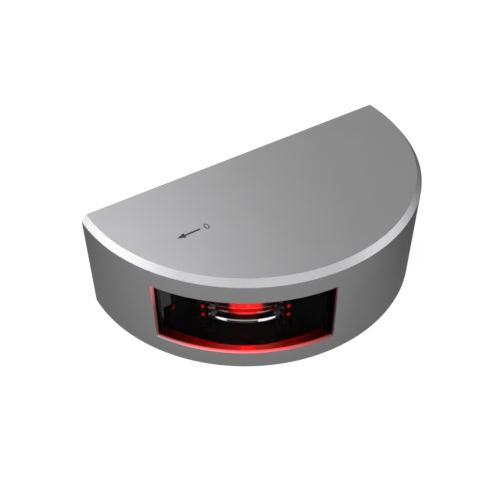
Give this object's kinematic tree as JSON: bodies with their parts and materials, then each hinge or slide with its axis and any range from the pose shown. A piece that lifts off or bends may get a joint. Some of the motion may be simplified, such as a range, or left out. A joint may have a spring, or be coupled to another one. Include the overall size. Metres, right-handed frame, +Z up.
{
  "type": "navigation light",
  "caption": "Low D-shaped port sidelight for a boat: bare aluminium housing, flat back, curved clear window towards the bow with lens and red light source, flush base with cable gland.",
  "frame": {"origin": "middle of the base's bounding box, on the plane that the light is mounted on", "axes": "+Z up, the flat back faces +Y (inboard), the curved front -Y (outboard, to port), the bow is towards -X"},
  "size_m": [0.13, 0.0685, 0.0408],
  "materials": {
    "bare_aluminium": "fine machined, satin",
    "stainless_steel": "satin",
    "clear_pane": "clear, polished",
    "clear_lens": "clear, moulded",
    "black_moulding": "matt black",
    "sealing_rubber": "matt",
    "white_board": "satin",
    "red_led": "clear dome over a lit red chip",
    "green_board": "satin solder mask",
    "dark_component": "matt",
    "capacitor_can": "drawn can",
    "terminal_plastic": "moulded",
    "lead_red": "insulated wire",
    "lead_black": "insulated wire",
    "nickel_brass": "nickel plated"
  },
  "bodies": {
    "root": {"housing": "bare_aluminium", "base_plate": "bare_aluminium", "base_gasket": "sealing_rubber", "base_screw_1": "stainless_steel", "base_screw_2": "stainless_steel", "base_screw_3": "stainless_steel", "base_screw_4": "stainless_steel", "base_screw_5": "stainless_steel", "base_screw_6": "stainless_steel", "mount_insert_left": "stainless_steel", "mount_insert_right": "stainless_steel", "window_pane": "clear_pane", "window_seal": "sealing_rubber", "light_shield": "black_moulding", "shield_screw_1": "stainless_steel", "shield_screw_2": "stainless_steel", "lens": "clear_lens", "lens_clip_left": "black_moulding", "lens_clip_right": "black_moulding", "clip_screw_1": "stainless_steel", "clip_screw_2": "stainless_steel", "led_board": "white_board", "led_board_screw_1": "stainless_steel", "led_board_screw_2": "stainless_steel", "led_1": "red_led", "led_2": "red_led", "led_3": "red_led", "led_bracket": "bare_aluminium", "bracket_screw_1": "stainless_steel", "bracket_screw_2": "stainless_steel", "driver_board": "green_board", "board_spacer_1": "nickel_brass", "board_spacer_2": "nickel_brass", "board_spacer_3": "nickel_brass", "board_spacer_4": "nickel_brass", "board_screw_1": "stainless_steel", "board_screw_2": "stainless_steel", "board_screw_3": "stainless_steel", "board_screw_4": "stainless_steel", "inductor": "dark_component", "input_capacitor": "capacitor_can", "output_capacitor": "capacitor_can", "driver_chip": "dark_component", "terminal_block": "terminal_plastic", "led_connector": "white_board", "led_lead_positive": "lead_red", "led_lead_negative": "lead_black", "gland_body": "nickel_brass", "gland_seal": "sealing_rubber", "gland_nut": "nickel_brass"}
  },
  "joints": []
}
